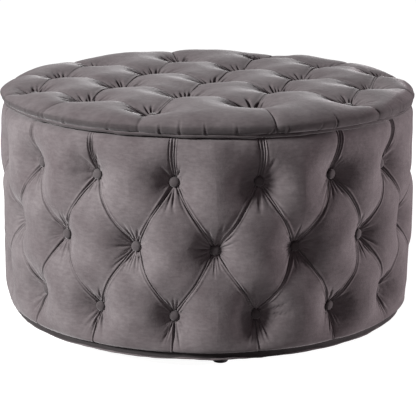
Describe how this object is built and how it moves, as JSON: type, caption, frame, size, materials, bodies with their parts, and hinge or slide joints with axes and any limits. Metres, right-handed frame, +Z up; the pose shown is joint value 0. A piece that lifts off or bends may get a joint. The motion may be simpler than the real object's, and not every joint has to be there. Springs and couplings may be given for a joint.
{
  "type": "storage ottoman",
  "caption": "Round button-tufted velvet storage ottoman: padded drum body on short round feet, with a hinged padded lid over an open compartment.",
  "frame": {"origin": "on the floor at the centre of the round body", "axes": "+Z up, +Y towards the hinges, +X to the right of a person facing the front (-Y) side"},
  "size_m": [0.8, 0.8, 0.468],
  "materials": {
    "velvet": "mauve grey velvet, brushed nap",
    "foot_black": "satin black",
    "plywood": "raw plywood",
    "hardboard": "raw hardboard",
    "foam": "upholstery foam with wadding",
    "lining_cloth": "charcoal woven lining",
    "dust_cloth": "black spun-bonded cloth",
    "hinge_steel": "nickel-plated steel",
    "zinc": "zinc-plated steel"
  },
  "bodies": {
    "root": {"foot_front": "foot_black", "foot_right": "foot_black", "foot_back": "foot_black", "foot_left": "foot_black", "foot_bolts": "zinc", "foot_tee_nuts": "zinc", "rim_screws": "zinc", "base_screws": "zinc", "hinge_screws_fixed_left": "zinc", "hinge_leaf_fixed_left": "hinge_steel", "hinge_pin_left": "hinge_steel", "hinge_screws_fixed_right": "zinc", "hinge_leaf_fixed_right": "hinge_steel", "hinge_pin_right": "hinge_steel", "base_board": "plywood", "lower_hoop": "plywood", "rim_ring": "plywood", "post_1": "plywood", "post_2": "plywood", "post_3": "plywood", "post_4": "plywood", "post_5": "plywood", "post_6": "plywood", "post_7": "plywood", "post_8": "plywood", "wall_panel": "hardboard", "body_foam": "foam", "body_cover": "velvet", "base_band": "velvet", "body_buttons_lower": "velvet", "body_buttons_middle": "velvet", "body_buttons_upper": "velvet", "compartment_floor": "lining_cloth", "compartment_liner": "lining_cloth", "dust_cloth": "dust_cloth"},
    "lid": {"lid_board": "plywood", "lid_foam": "foam", "lid_cover": "velvet", "lid_welt": "velvet", "lid_lining": "lining_cloth", "lid_buttons": "velvet", "hinge_leaf_moving_left": "hinge_steel", "hinge_leaf_moving_right": "hinge_steel", "hinge_screws_moving_left": "zinc", "hinge_screws_moving_right": "zinc"}
  },
  "joints": [
    {"name": "lid_hinge", "type": "hinge", "parent": "root", "child": "lid", "pos_m": [0, 0.3955, 0.42375], "axis": [-1, 0, 0], "range_deg": [0, 95]}
  ]
}
